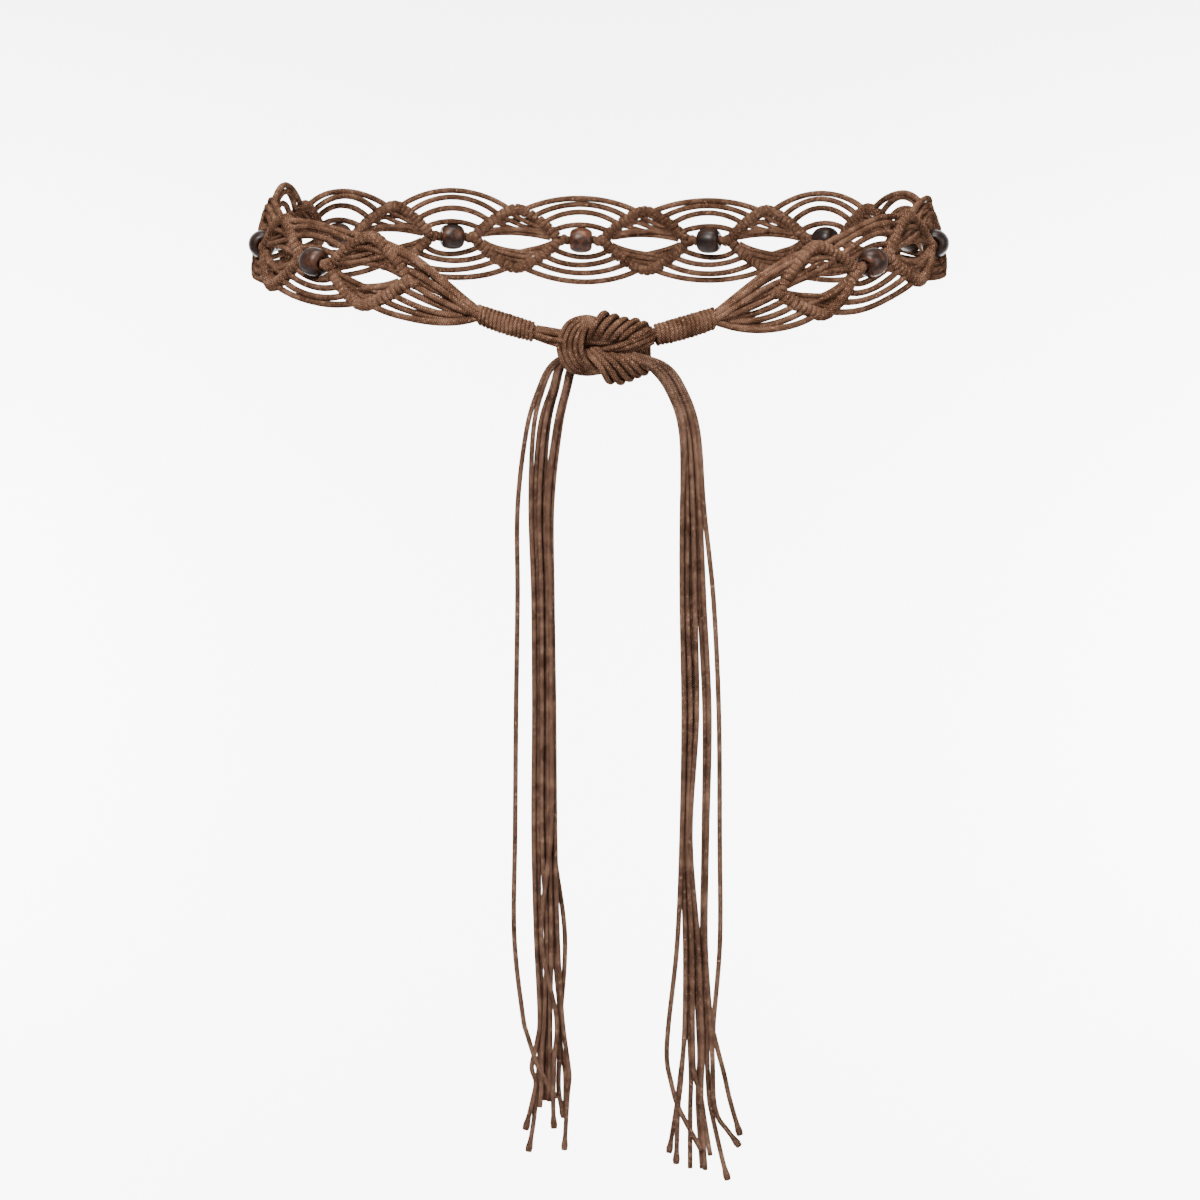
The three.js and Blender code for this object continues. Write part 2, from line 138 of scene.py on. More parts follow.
# Cords of a fan: share of the bar, up or down, heights a third and two thirds of the way, place in the bundle
FAN = [
    (0.16, 1, 9.6, 5.4, 0), (0.36, 1, 8.2, 4.4, 1), (0.58, 1, 6.0, 3.2, 6), (0.8, 1, 3.6, 1.8, 2),
    (0.97, 1, 1.2, 0.6, 7), (0.97, -1, -2.2, -1.2, 8), (0.8, -1, -5.8, -3.2, 9), (0.6, -1, -9.4, -5.4, 5),
    (0.38, -1, -13.0, -7.6, 4), (0.14, -1, -16.2, -9.6, 3),
]
FAN_OVERLAP = 3.0

# Heights below the knot's middle where the tail cords' sideways places are given
FALL = [6, 14, 28, 54, 85, 124, 165, 201, 229]
# Cords of the tails: how far behind the tail's front layer, sideways places from the middle of the
# waist at those heights, then the last places as (sideways, below the knot), and a knobbed end or not
LEFT_CORDS = [
    (0.0, [-12.0, -16.3, -20.5, -23.6, -23.7, -24.3, -24.7, -25.1, -22.2],
     [(-20.6, 236), (-17.3, 246), (-14.7, 251), (-11.0, 258)], True),
    (0.3, [-10.9, -14.9, -18.2, -19.2, -18.3, -18.1, -18.4, -17.6, -16.4],
     [(-17.3, 238), (-19.2, 247), (-17.8, 252), (-18.5, 257), (-21.4, 269)], True),
    (1.7, [-9.4, -12.1, -16.2, -17.7, -16.9, -16.8, -16.8, -16.4, -15.7],
     [(-16.6, 244), (-17.6, 257), (-18.8, 268), (-20.4, 277)], True),
    (0.2, [-8.6, -11.1, -14.5, -16.2, -15.5, -15.4, -15.5, -14.1, -14.7],
     [(-15.6, 241), (-15.9, 255), (-16.4, 261)], False),
    (1.8, [-7.8, -10.2, -13.3, -14.8, -14.2, -14.2, -14.1, -12.9, -14.0],
     [(-14.2, 244), (-14.7, 259)], False),
    (0.0, [-5.6, -7.7, -10.9, -14.0, -13.2, -13.2, -13.1, -12.4, -12.8],
     [(-12.8, 244), (-13.3, 259)], False),
    (-1.6, [-5.0, -7.1, -10.5, -13.3, -12.5, -12.3, -12.4, -15.8, -10.7],
     [(-11.4, 244), (-11.8, 259), (-11.5, 268)], True),
    (1.7, [-4.4, -6.7, -9.9, -12.6, -12.0, -11.7, -11.5, -11.6, -9.5],
     [(-9.7, 244), (-9.9, 256), (-8.0, 265)], True),
    (0.1, [-3.8, -6.2, -9.2, -11.9, -11.8, -11.3, -11.0, -10.2, -8.7],
     [(-6.6, 246), (-6.2, 251), (-6.9, 258), (-8.0, 276)], True),
    (3.4, [-4.9, -7.0, -10.1, -13.0, -13.0, -12.7, -12.2, -7.8, -9.2],
     [(-9.4, 239), (-7.7, 250), (-7.7, 264)], False),
]
RIGHT_CORDS = [
    (0.0, [26.2, 32.4, 37.1, 39.2, 42.5, 44.4, 44.8, 45.0, 42.9],
     [(43.3, 234), (44.5, 239), (46.6, 247), (48.6, 256), (52.1, 268)], True),
    (0.2, [25.0, 31.2, 35.7, 37.8, 39.3, 41.2, 40.5, 40.1, 41.9],
     [(42.6, 242), (43.0, 255), (44.6, 262), (47.5, 266), (51.9, 272)], True),
    (1.8, [24.0, 30.0, 34.7, 36.8, 37.8, 39.7, 39.5, 39.1, 40.6],
     [(40.8, 242), (41.5, 255), (42.5, 261), (45.9, 276), (48.0, 284)], True),
    (0.1, [23.0, 29.0, 33.7, 35.5, 36.2, 37.0, 34.9, 37.6, 38.9],
     [(39.1, 242), (38.8, 257), (40.2, 280)], False),
    (1.8, [22.1, 28.2, 32.9, 34.3, 34.7, 35.8, 34.4, 36.6, 37.7],
     [(38.2, 242), (37.7, 257), (39.2, 280)], False),
    (-0.1, [21.3, 27.5, 32.2, 33.5, 33.5, 34.8, 33.8, 35.4, 35.8],
     [(36.3, 246), (38.4, 253), (40.1, 264), (41.9, 275)], False),
    (1.6, [20.6, 27.0, 31.7, 32.6, 32.5, 33.6, 32.7, 34.2, 34.6],
     [(35.3, 248), (35.1, 259), (35.1, 280)], False),
    (0.1, [20.0, 26.7, 31.4, 32.0, 32.0, 33.0, 32.2, 33.2, 33.1],
     [(31.9, 249), (30.9, 259), (30.3, 278)], True),
    (3.4, [20.3, 27.2, 31.9, 32.5, 32.9, 34.2, 33.2, 33.5, 33.6],
     [(31.6, 249), (30.4, 259), (27.9, 275)], True),
    (-1.5, [20.8, 27.7, 32.4, 31.8, 31.8, 32.5, 31.9, 30.5, 27.6],
     [(27.0, 241), (28.4, 249), (30.6, 257), (34.0, 264), (38.8, 273)], False),
]
# Where the tails' first and last cords leave the knot, and how far their front layers lie behind its middle
LEFT_STARTS, LEFT_PLANE = ((-10, 2.5, -1), (-5, 2.5, -5)), 5.1
RIGHT_STARTS, RIGHT_PLANE = ((9, -7, -2.2), (9, -7, -5)), -6.1
# How much thicker a knobbed end's last points are than the cord
KNOB = [1.2, 1.5, 1.25]

# Cords of the knot, as places right of, behind and above its middle. The lobe's cords lie between its
# first and last one
LOBE_CORDS = 5
LOBE_FIRST = [
    (-1.0, 2.5, 8.6), (-6.5, 0.5, 9.9), (-12.2, -0.5, 8.0), (-15.1, -1.5, 2.8), (-15.1, -1.5, -2.6),
    (-12.2, -0.5, -7.4), (-6.5, 1.0, -8.9), (-1.0, 2.5, -8.3),
]
LOBE_LAST = [
    (-3.0, -2.5, 7.3), (-6.0, -4.6, 6.3), (-7.4, -5.6, 3.9), (-8.0, -6.2, 0.9), (-7.9, -6.2, -1.2),
    (-7.0, -5.6, -3.8), (-5.2, -4.6, -6.0), (-3.0, -2.5, -7.4),
]
# Cords that cross the knot's front: where they leave the gap in the middle and where they go over the edge
UPPER_CORDS = [
    ((-5.6, 2.2), (-0.6, 11.2)), ((-3.6, 1.5), (2.8, 10.2)), ((-1.5, 0.9), (6.1, 9.2)),
    ((0.8, 0.5), (9.8, 8.8)), ((3.3, 0.4), (12.6, 7.8)), ((6.4, 0.7), (14.4, 5.4)),
]
LOWER_CORDS = [
    ((-5.8, -2.2), (1.2, -11.4)), ((-4.8, -0.9), (4.6, -11.6)), ((-2.9, -0.6), (7.6, -10.6)),
    ((-0.4, -0.7), (10.3, -9.4)), ((2.1, -1.1), (12.6, -8.6)), ((4.6, -1.7), (14.4, -7.0)),
]
# Cords that run straight out of the gap to the right wrap
WRAP_CORDS = [
    [(-1.0, -5.2, -0.9), (4.0, -7.6, 0.2), (8.6, -7.6, 1.9), (12.6, -6.0, 3.4), (16.0, -2.4, 4.6)],
    [(0.5, -5.2, -1.1), (5.0, -7.0, -0.6), (9.6, -7.2, 0.5), (13.0, -5.8, 1.9), (16.0, -3.2, 3.2)],
    [(2.0, -4.8, -1.4), (6.0, -5.4, -1.4), (10.0, -5.8, -0.8), (13.4, -4.8, 0.4), (16.0, -3.0, 1.7)],
]
# Right edge of the knot, front of its gap and of the crossing cords, and the points' spacing
KNOT_RIGHT = 14.4
GAP_FRONT = -3.6
CROSSING_FRONT = -7.6
KNOT_STEP = 0.8
# Sizes of the turns under the crossing cords, and of the turns halfway between two of them
UNDER_SIZE = 0.8
HALFWAY_SIZES = (0.84, 0.6)
# Cords in the heart of the knot: place along it, and depth and height as shares of their radius
CORE_CORDS = 9
CORE_RADIUS = 4.6
CORE_CORD = 1.5 * KNOT_CORD
CORE = [
    (-12.0, 0.4, 0.8), (-8.0, 0.6, 1.25), (-4.0, 0.8, 1.35), (0.0, 1.0, 1.15), (4.0, 1.0, 1.0),
    (9.0, 0.9, 0.8), (14.0, 0.6, 0.5),
]

# Camera at the photo's viewing angle
FRAME_PX = 1200
FOCAL_PX = 3380
CAMERA_DISTANCE = 1.2467
CAMERA_ELEVATION = math.radians(5)
AIM = (0.0043, 0.0, -0.131)
SENSOR = 36.0


def make_camera():
    data = bpy.data.cameras.new("camera")
    data.sensor_width = SENSOR
    data.lens = SENSOR * FOCAL_PX / FRAME_PX
    camera = bpy.data.objects.new("camera", data)
    camera.location = (
        AIM[0],
        AIM[1] - CAMERA_DISTANCE * math.cos(CAMERA_ELEVATION),
        AIM[2] + CAMERA_DISTANCE * math.sin(CAMERA_ELEVATION),
    )
    camera.rotation_euler = (math.pi / 2 - CAMERA_ELEVATION, 0, 0)
    bpy.context.scene.collection.objects.link(camera)
    bpy.context.scene.camera = camera


# Belt places

def plan_table(steps=7200):
    """Lengths round the loop from the front middle, with their places in plan."""
    angle = np.linspace(0, 2 * math.pi, steps + 1)
    side, facing = np.sin(angle), np.cos(angle)
    left, front = side > 0, facing > 0
    fullness = np.select(
        [front & left, front, left],
        [FULLNESS["front left"], FULLNESS["front right"], FULLNESS["back left"]],
        FULLNESS["back right"],
    )
    power = 2 / fullness
    width = np.where(left, WAIST_LEFT, WAIST_RIGHT)
    depth = np.where(front, WAIST_FRONT, WAIST_BACK)
    x = -np.sign(side) * np.abs(side) ** power * width
    y = -np.sign(facing) * np.abs(facing) ** power * depth
    length = np.concatenate([[0], np.cumsum(np.hypot(np.diff(x), np.diff(y)))])
    return length, x, y


PLAN_S, PLAN_X, PLAN_Y = plan_table()
LOOP = PLAN_S[-1]


def along(s):
    """Place in plan at s along the loop."""
    s = np.mod(s, LOOP)
    return np.interp(s, PLAN_S, PLAN_X), np.interp(s, PLAN_S, PLAN_Y)


def drop_at(s):
    """Share of FRONT_DROP at s along the loop, on a smooth curve through DROP."""
    share = np.mod(s, LOOP) / LOOP
    xs, ys = np.array(DROP).T
    slope = np.gradient(ys, xs)
    i = np.clip(np.searchsorted(xs, share, side="right") - 1, 0, len(xs) - 2)
    width = xs[i + 1] - xs[i]
    t = (share - xs[i]) / width
    return (
        (1 + 2 * t) * (1 - t) ** 2 * ys[i] + t * (1 - t) ** 2 * width * slope[i]
        + t * t * (3 - 2 * t) * ys[i + 1] + t * t * (t - 1) * width * slope[i + 1]
    )


def belt(s, v=0.0, n=0.0):
    """Point at s along the loop, v up the band and n out of it."""
    s, v, n = np.broadcast_arrays(np.asarray(s, float), v, n)
    x, y = along(s)
    x0, y0 = along(s - 0.6)
    x1, y1 = along(s + 0.6)
    size = np.hypot(x1 - x0, y1 - y0)
    out_x, out_y = (y0 - y1) / size, (x1 - x0) / size
    reach = n - v * math.sin(LEAN)
    z = BACK_RISE - FRONT_DROP * drop_at(s) + v * math.cos(LEAN)
    return np.stack([x + out_x * reach, y + out_y * reach, z], axis=-1)


def bezier(a, b, c, d, steps):
    """Points on a Bezier curve from a to d."""
    t = np.linspace(0, 1, steps)[:, None]
    a, b, c, d = (np.asarray(p, float) for p in (a, b, c, d))
    r = 1 - t
    return r**3 * a + 3 * r * r * t * b + 3 * r * t * t * c + t**3 * d


def smooth(points, step=1.5):
    """Catmull-Rom curve through the points, in even steps."""
    p = np.asarray(points, float)
    p = np.vstack([2 * p[0] - p[1], p, 2 * p[-1] - p[-2]])
    t = np.linspace(0, 1, 16, endpoint=False)[:, None]
    runs = []
    for a, b, c, d in zip(p, p[1:], p[2:], p[3:]):
        runs.append(0.5 * (2 * b + (c - a) * t + (2 * a - 5 * b + 4 * c - d) * t**2
                           + (3 * b - 3 * c + d - a) * t**3))
    line = np.vstack(runs + [p[-2:-1]])
    length = np.concatenate([[0], np.cumsum(np.linalg.norm(np.diff(line, axis=0), axis=1))])
    even = np.linspace(0, length[-1], max(3, int(length[-1] / step) + 1))
    return np.stack([np.interp(even, length, line[:, i]) for i in range(3)], axis=1)


# Meshes

class Strands:
    """Tubes and rings of cord gathered into one mesh."""

    def __init__(self):
        self.points, self.faces, self.uvs = [], [], []
        self.count = 0

    def add(self, points, faces, uvs):
        self.points.append(points)
        self.faces.extend([tuple(self.count + i for i in face) for face in faces])
        self.uvs.extend(uvs)
        self.count += len(points)

    def tube(self, path, radius, sides=8, start=0.0):
        """A cord along the path, with flat ends; start shifts its weave along it."""
        path = np.asarray(path, float)
        count = len(path)
        radius = np.broadcast_to(np.asarray(radius, float), count)
        ahead = np.vstack([path[1:], 2 * path[-1:] - path[-2:-1]])
        behind = np.vstack([2 * path[:1] - path[1:2], path[:-1]])
        tangent = ahead - behind
        tangent /= np.linalg.norm(tangent, axis=1)[:, None]
        normal = np.zeros_like(path)
        pick = np.eye(3)[np.argmin(np.abs(tangent[0]))]
        last = pick
        for i in range(count):
            last = last - np.dot(last, tangent[i]) * tangent[i]
            last = last / np.linalg.norm(last)
            normal[i] = last
        binormal = np.cross(tangent, normal)
        angle = np.arange(sides) * 2 * math.pi / sides
        ring = (np.cos(angle)[None, :, None] * normal[:, None]
                + np.sin(angle)[None, :, None] * binormal[:, None])
        points = (path[:, None] + radius[:, None, None] * ring).reshape(-1, 3)
        length = start + np.concatenate([[0], np.cumsum(np.linalg.norm(np.diff(path, axis=0), axis=1))])
        faces, uvs = [], []
        for i in range(count - 1):
            j = i + 1
            for k in range(sides):
                m = (k + 1) % sides
                faces.append((i * sides + k, i * sides + m, j * sides + m, j * sides + k))
                u0, u1 = k / sides, (k + 1) / sides
                uvs += [(u0, length[i]), (u1, length[i]), (u1, length[j]), (u0, length[j])]
        faces.append(tuple(range(sides - 1, -1, -1)))
        uvs += [(0.5, length[0])] * sides
        faces.append(tuple(range((count - 1) * sides, count * sides)))
        uvs += [(0.5, length[-1])] * sides
        self.add(points, faces, uvs)

    def wound(self, grid, reach):
        """A closed ring from a grid of points: rows round the bar, columns round the cord."""
        rows, columns = grid.shape[:2]
        faces, uvs = [], []
        for i in range(rows):
            for k in range(columns):
                j, m = (i + 1) % rows, (k + 1) % columns
                faces.append((i * columns + k, j * columns + k, j * columns + m, i * columns + m))
                u0, u1 = k / columns, (k + 1) / columns
                near, far = (2 * math.pi * reach * n / rows for n in (i, i + 1))
                uvs += [(u0, near), (u0, far), (u1, far), (u1, near)]
        self.add(grid.reshape(-1, 3), faces, uvs)

    def object(self, name, material):
        """The mesh as a piece that rides on the belt."""
        mesh = bpy.data.meshes.new(name)
        mesh.from_pydata((np.vstack(self.points) * MM).tolist(), [], self.faces)
        layer = mesh.uv_layers.new(name="UVMap")
        layer.data.foreach_set("uv", np.asarray(self.uvs, float).ravel())
        mesh.polygons.foreach_set("use_smooth", [True] * len(mesh.polygons))
        mesh.materials.append(material)
        piece = bpy.data.objects.new(name, mesh)
        bpy.context.scene.collection.objects.link(piece)
        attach(piece, "root")
        return piece


# Materials

PLAITS_AROUND = 5.0
PLAITS_PER_MM = 1.3


class Nodes:
    """Short way to write a node tree."""

    def __init__(self, name):
        self.material = bpy.data.materials.new(name)
        self.material.use_nodes = True
        self.tree = self.material.node_tree
        self.shader = self.tree.nodes["Principled BSDF"]

    def node(self, kind, inputs=(), **settings):
        made = self.tree.nodes.new(kind)
        for key, value in settings.items():
            setattr(made, key, value)
        for socket, value in dict(inputs).items():
            self.feed(made.inputs[socket], value)
        return made

    def feed(self, socket, value):
        if hasattr(value, "is_output"):
            self.tree.links.new(value, socket)
        else:
            socket.default_value = value

    def math(self, operation, a, b=0.0):
        made = self.node("ShaderNodeMath", operation=operation)
        self.feed(made.inputs[0], a)
        self.feed(made.inputs[1], b)
        return made.outputs[0]

    def ramp(self, value, stops):
        made = self.node("ShaderNodeValToRGB", {"Fac": value})
        elements = made.color_ramp.elements
        while len(elements) < len(stops):
            elements.new(0.5)
        for element, (at, colour) in zip(elements, stops):
            element.position = at
            element.color = (*colour, 1)
        return made.outputs["Color"]


def cord_material(name, dark, middle, light):
    """Waxed braided cotton: fine crossing plaits, with painted shade in the crevices between plaits that
    leaves their tops lighter, painted highlights in small specks, and uneven dye.
    """
    n = Nodes(name)
    uv = n.node("ShaderNodeUVMap", uv_map="UVMap")
    parts = n.node("ShaderNodeSeparateXYZ", {"Vector": uv.outputs["UV"]})
    around = n.math("MULTIPLY", parts.outputs["X"], PLAITS_AROUND)
    lengthways = n.math("MULTIPLY", parts.outputs["Y"], PLAITS_PER_MM)
    one, two = (
        n.math("ABSOLUTE", n.math("SINE", n.math("MULTIPLY", n.math(lean, around, lengthways), math.pi)))
        for lean in ("ADD", "SUBTRACT")
    )
    braid = n.math("POWER", n.math("MULTIPLY", one, two), 0.6)
    place = n.node("ShaderNodeTexCoord")
    dye = n.node("ShaderNodeTexNoise", {"Vector": place.outputs["Object"], "Scale": 160.0, "Detail": 3.0})
    fibre = n.node("ShaderNodeTexNoise", {"Vector": place.outputs["Object"], "Scale": 2600.0, "Detail": 2.0})
    # The plait height darkens the colour in the crevices between plaits and lightens their tops: painted
    # shade. The dye and fibre noise are uneven tone.
    tone = n.math("ADD", n.math("MULTIPLY", braid, 0.3), n.math("MULTIPLY", dye.outputs["Fac"], 0.45))
    tone = n.math("ADD", tone, n.math("MULTIPLY", fibre.outputs["Fac"], 0.3))
    # Painted highlights: small light specks stand in for the glints of the wax, as the cord has no specular
    # reflection.
    glint_noise = n.node("ShaderNodeTexNoise", {"Vector": place.outputs["Object"], "Scale": 1500.0, "Detail": 1.0})
    painted_glints = n.math("MAXIMUM", n.math("SUBTRACT", glint_noise.outputs["Fac"], 0.6), 0.0)
    tone = n.math("ADD", tone, n.math("MULTIPLY", painted_glints, 2.2))
    colour = n.ramp(tone, [(0.2, dark), (0.5, middle), (0.85, light)])
    n.feed(n.shader.inputs["Base Color"], colour)
    rough = n.math("SUBTRACT", 0.66, n.math("MULTIPLY", braid, 0.16))
    n.feed(n.shader.inputs["Roughness"], rough)
    height = n.math("ADD", braid, n.math("MULTIPLY", fibre.outputs["Fac"], 0.5))
    bump = n.node("ShaderNodeBump", {"Strength": 0.4, "Distance": 0.00018, "Height": height})
    n.feed(n.shader.inputs["Normal"], bump.outputs["Normal"])
    n.shader.inputs["Specular IOR Level"].default_value = 0.0
    return n.material


def wood_material():
    """Dark stained wood, polished, with reddish grain that runs along the hole."""
    n = Nodes("bead_wood")
    uv = n.node("ShaderNodeUVMap", uv_map="UVMap")
    parts = n.node("ShaderNodeSeparateXYZ", {"Vector": uv.outputs["UV"]})
    turn = n.math("MULTIPLY", parts.outputs["X"], 2 * math.pi)
    vector = n.node("ShaderNodeCombineXYZ", {
        "X": n.math("COSINE", turn), "Y": n.math("SINE", turn),
        "Z": n.math("MULTIPLY", parts.outputs["Y"], 0.05),
    })
    place = n.node("ShaderNodeTexCoord")
    shifted = n.node("ShaderNodeVectorMath", {0: vector.outputs["Vector"], 1: place.outputs["Object"]},
                     operation="MULTIPLY_ADD")
    shifted.inputs[1].default_value = (1, 1, 1)
    scaled = n.node("ShaderNodeVectorMath", {0: place.outputs["Object"]}, operation="SCALE")
    scaled.inputs["Scale"].default_value = 28.0
    n.feed(shifted.inputs[2], scaled.outputs["Vector"])
    grain = n.node("ShaderNodeTexNoise", {
        "Vector": shifted.outputs["Vector"], "Scale": 3.2, "Detail": 5.0, "Roughness": 0.62,
    })
    fine = n.node("ShaderNodeTexNoise", {
        "Vector": shifted.outputs["Vector"], "Scale": 17.0, "Detail": 3.0,
    })
    tone = n.math("ADD", n.math("MULTIPLY", grain.outputs["Fac"], 0.72),
                  n.math("MULTIPLY", fine.outputs["Fac"], 0.28))
    colour = n.ramp(tone, [
        (0.4, (0.008, 0.004, 0.003)), (0.52, (0.022, 0.009, 0.005)),
        (0.62, (0.085, 0.031, 0.015)), (0.8, (0.22, 0.09, 0.043)),
    ])
    n.feed(n.shader.inputs["Base Color"], colour)
    n.feed(n.shader.inputs["Roughness"], n.math("ADD", 0.28, n.math("MULTIPLY", fine.outputs["Fac"], 0.2)))
    bump = n.node("ShaderNodeBump", {"Strength": 0.25, "Distance": 0.0001, "Height": tone})
    n.feed(n.shader.inputs["Normal"], bump.outputs["Normal"])
    n.shader.inputs["Specular IOR Level"].default_value = 0.25
    return n.material


CORD_LOOK = cord_material(
    "waxed_cord", dark=(0.006, 0.0024, 0.0013), middle=(0.0515, 0.0232, 0.0132), light=(0.275, 0.153, 0.098))
TAIL_LOOK = cord_material(
    "tail_cord", dark=(0.008, 0.0034, 0.002), middle=(0.0585, 0.0298, 0.0195), light=(0.27, 0.155, 0.104))
WOOD_LOOK = wood_material()


# Stations

LEFT_REACH = LEFT_WRAP + LEFT_WRAP_LENGTH + LEFT_FAN
RIGHT_REACH = RIGHT_WRAP + RIGHT_WRAP_LENGTH + RIGHT_FAN
LINK = (LOOP - LEFT_REACH - RIGHT_REACH - DIAMONDS * DIAMOND_LENGTH) / (DIAMONDS - 1)
PITCH = DIAMOND_LENGTH + LINK
HALF_LENGTH = DIAMOND_LENGTH / 2 - BAR / 3
HALF_HEIGHT = (DIAMOND_HEIGHT - BAR) / 2


def centre(k):
    """Place of diamond k's middle along the loop."""
    return LEFT_REACH + DIAMOND_LENGTH / 2 + k * PITCH


def bar_place(k, side, share, up):
    """On a bar's middle line, from the peak (share 0) to the tip (share 1)."""
    bow = BAR_BOW * 4 * share * (1 - share)
    return np.array([
        centre(k) + side * (HALF_LENGTH * share + bow * 0.5),
        up * (HALF_HEIGHT * (1 - share) + bow),
    ])


def jitter(size):
    """A small random change, up to the size either way."""
    return random.uniform(-size, size)


# Diamond

def hitch_ring(strands, at, ahead, reach, slant, width, lift=0.0, steps=16, sides=8, squareness=0.7):
    """One turn of a hitch, flattened by its pull; ahead is the bar's direction along and up the band."""
    across = np.array([-ahead[1], ahead[0]])
    turn = (np.arange(steps) * 2 * math.pi / steps)[:, None]
    face = (np.arange(sides) * 2 * math.pi / sides)[None, :]
    rise, wide = (np.sign(f) * np.abs(f) ** squareness for f in (np.cos(face), np.sin(face)))
    radius = reach - HITCH_DEPTH / 2 * (1 - rise)
    shift = slant * np.cos(turn) + width / 2 * wide
    s = at[0] + across[0] * radius * np.cos(turn) + ahead[0] * shift
    v = at[1] + across[1] * radius * np.cos(turn) + ahead[1] * shift
    strands.wound(belt(s, v, lift + radius * np.sin(turn)), reach)


def arch_line(k, up):
    """Middle line of the two bars above or below the eye, from the left tip over a round peak."""
    shares = [1.0, 0.8, 0.55, 0.3, 0.12]
    left = [bar_place(k, -1, share, up) for share in shares]
    right = [bar_place(k, 1, share, up) for share in reversed(shares)]
    peak = np.array([centre(k), up * (HALF_HEIGHT - PEAK_DROP)])
    flat = np.array([*left, peak, *right])
    return smooth(np.column_stack([flat, np.zeros(len(flat))]), ARCH_STEP)[:, :2]


def bend_at(line, i, reach=8):
    """How sharply a line of even steps turns at place i, per millimetre."""
    behind = line[i] - line[max(i - reach, 0)]
    beyond = line[min(i + reach, len(line) - 1)] - line[i]
    turned = math.atan2(behind[0] * beyond[1] - behind[1] * beyond[0], float(behind @ beyond))
    return abs(turned) / (reach * ARCH_STEP)


def arch(strands, k, up):
    """Two bars that meet at the peak; their turns spread and crowd together where the bar bends."""
    line = arch_line(k, up)
    first, last, reach_out = 3, len(line) - 4, 7
    place = float(first)
    while place < last:
        i = int(place)
        ahead = line[min(i + reach_out, len(line) - 1)] - line[max(i - reach_out, 0)]
        ahead /= np.linalg.norm(ahead)
        crowding = 1 + 0.4 * bend_at(line, i) * BAR / 2
        reach, slant, lift = BAR / 2 * (1.03 + jitter(0.02)), up * (0.25 + jitter(0.1)), jitter(0.1)
        hitch_ring(strands, line[i], ahead, reach, slant, HITCH_WIDTH * crowding, lift)
        place += (HITCH_STEP + jitter(0.1)) / crowding / ARCH_STEP
    strands.tube(belt(line[::8, 0], line[::8, 1]), CORD / 2)


def inner_cords(strands, k):
    """Loose cords over and under the eye."""
    for i, row in enumerate(INNER):
        points = np.array(row) + [[jitter(0.35), jitter(0.3)] for _ in row]
        line = bezier(*points, INNER_STEPS)
        depth = INNER_DEPTH[i % len(INNER_DEPTH)] + jitter(0.2)
        bulge = depth * np.sin(np.linspace(0, math.pi, INNER_STEPS))
        strands.tube(belt(centre(k) + line[:, 0], line[:, 1], bulge), CORD / 2)


def tip_knob(strands, k, side):
    """The crossed cords between a diamond's tip and the bead's cords."""
    for out, reach, slant in TIP_TURNS:
        at = np.array([centre(k) + side * (HALF_LENGTH + out), 0.0])
        hitch_ring(strands, at, np.array([1.0, 0.0]), reach, slant, TIP_TURN_WIDTH)


def link_cords(strands, k):
    """Arcs over and under the bead after diamond k, and the two cords that carry the bead."""
    upper, lower = SLACK[k]
    facing = -1 if k in FRONT_LINKS else 1
    for share, peak, out in ARCS:
        up = 1 if peak > 0 else -1
        a = bar_place(k, 1, share, up)
        d = bar_place(k + 1, -1, share, up)
        peak = peak * (upper if up > 0 else lower) * (1 + jitter(0.035))
        level = (8 * peak - a[1] - d[1]) / 6
        inset = 0.3 * (d[0] - a[0])
        skew = jitter(1.2)
        b = [a[0] + inset + skew, level + skew * 0.4]
        c = [d[0] - inset + skew, level - skew * 0.4]
        line = bezier(a, b, c, d, ARC_STEPS)
        bulge = (facing * out + jitter(0.5)) * np.sin(np.linspace(0, math.pi, ARC_STEPS))
        strands.tube(belt(line[:, 0], line[:, 1], bulge), NET_CORD / 2 * (1 + jitter(0.03)))
    from_s, to_s = centre(k) + HALF_LENGTH, centre(k + 1) - HALF_LENGTH
    s = np.linspace(from_s, to_s, BEAD_CORD_STEPS)
    twist = (s - from_s) * BEAD_CORD_TWIST
    for side in (1, -1):
        v, n = side * BEAD_CORD_SPREAD * np.cos(twist), side * BEAD_CORD_DEPTH * np.sin(twist)
        strands.tube(belt(s, v, n), CORD / 2)


def make_diamond(k):
    strands = Strands()
    for up in (1, -1):
        arch(strands, k, up)
    for side in (-1, 1):
        tip_knob(strands, k, side)
    inner_cords(strands, k)
    if k < DIAMONDS - 1:
        link_cords(strands, k)
    piece = strands.object(f"knotted_diamond_{k + 1:02d}", CORD_LOOK)
    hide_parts(f"diamond_{k + 1:02d}")


# Bead

# Outline of a bead, bore and all: share of half its length, share of its radius
BEAD_PROFILE = [
    (-1.0, BEAD_BORE / BEAD), (-1.0, 0.56), (-0.97, 0.66), (-0.88, 0.78), (-0.7, 0.89), (-0.45, 0.965),
    (-0.18, 0.998), (0.0, 1.0), (0.18, 0.998), (0.45, 0.965), (0.7, 0.89), (0.88, 0.78),
    (0.97, 0.66), (1.0, 0.56), (1.0, BEAD_BORE / BEAD),
]


